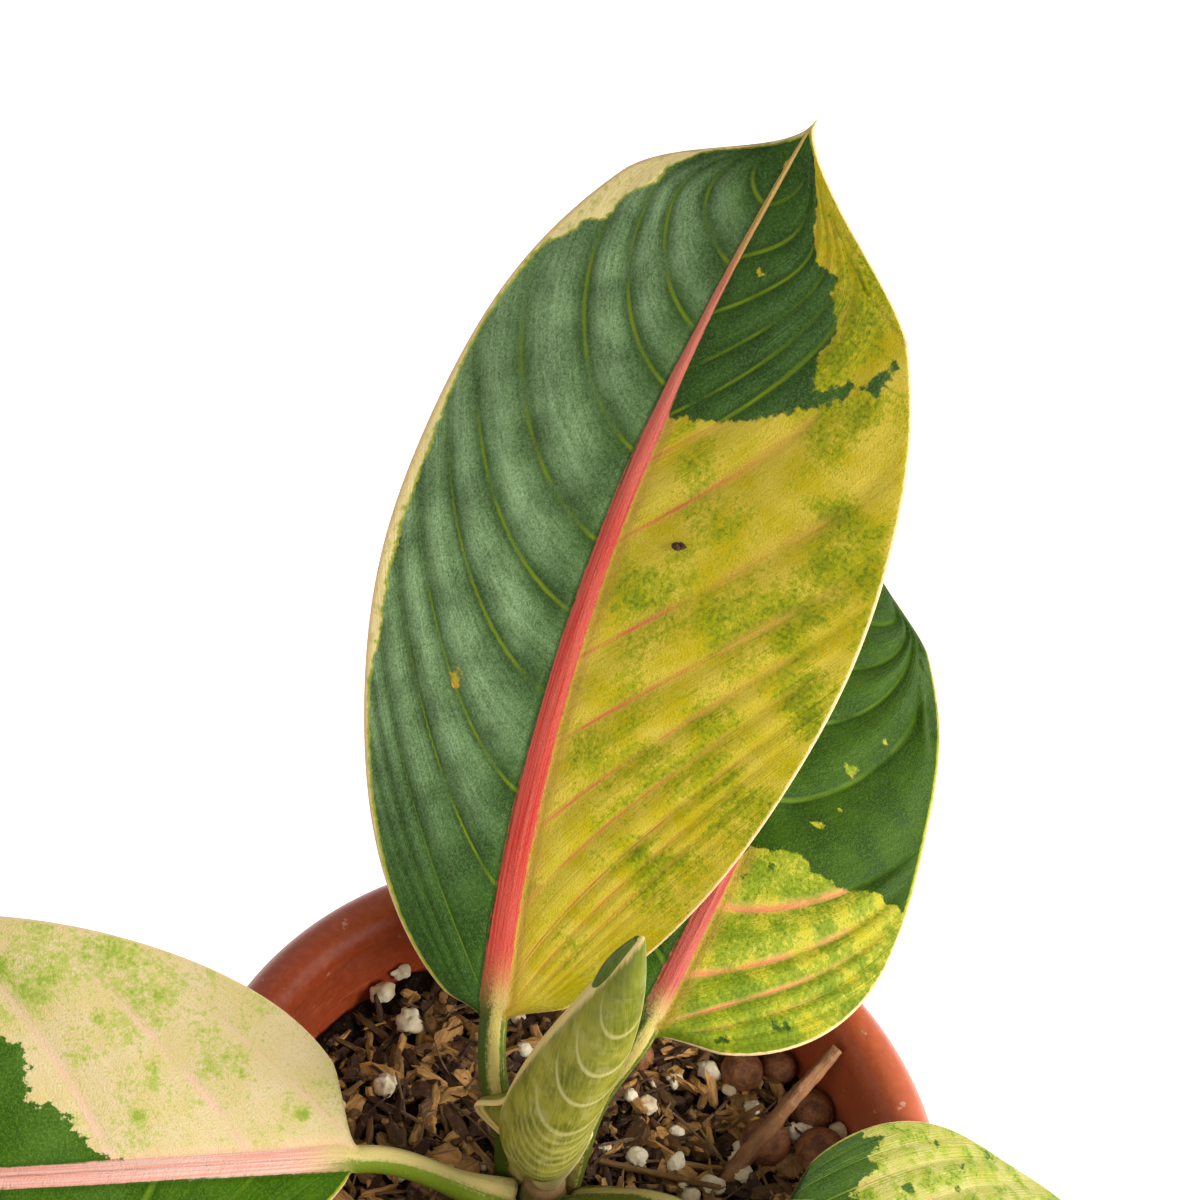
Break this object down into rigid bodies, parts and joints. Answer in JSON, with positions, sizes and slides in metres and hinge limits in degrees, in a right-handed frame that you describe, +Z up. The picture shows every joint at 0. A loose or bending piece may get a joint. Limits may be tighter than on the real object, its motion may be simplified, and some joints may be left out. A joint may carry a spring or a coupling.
{
  "type": "potted chinese evergreen",
  "caption": "Potted Chinese evergreen: broad variegated leaves on petioles and a rolled new leaf, growing from potting mix in a rimmed nursery pot that stands on a flat base.",
  "frame": {"origin": "middle of the pot's flat base, on the surface it stands on", "axes": "+Z up along the pot's axis, +Y away from the viewer of the plant's front, +X to that viewer's right"},
  "size_m": [0.251, 0.2086, 0.2148],
  "materials": {
    "terracotta_plastic": "moulded terracotta-coloured plastic, satin, faint turning lines",
    "potting_mix": "loose bark and coir chips with white perlite and brown baked clay balls",
    "cane": "smooth green stem with pale leaf scars",
    "twig_wood": "dry barked twig",
    "leaf_young": "matt underside of a young leaf, olive green with pale veins",
    "leaf_half_green": "satin leaf, one half dark green and one half mottled yellow green, pink midrib",
    "leaf_dark_green": "satin dark green leaf with mottled yellow patches and a pink midrib",
    "leaf_cream": "satin leaf, one half cream with green flecks and one half green, pale pink midrib",
    "leaf_pale_green": "satin pale yellow green leaf with dark green flecks",
    "leaf_green": "satin mid green leaf with a pale margin"
  },
  "bodies": {
    "root": {"pot": "terracotta_plastic", "soil": "potting_mix", "cane": "cane", "twig": "twig_wood", "leaf_new": "leaf_young", "leaf_back": "leaf_half_green", "leaf_back_right": "leaf_dark_green", "leaf_left": "leaf_cream", "leaf_right": "leaf_pale_green", "leaf_front_right": "leaf_green"}
  },
  "joints": []
}
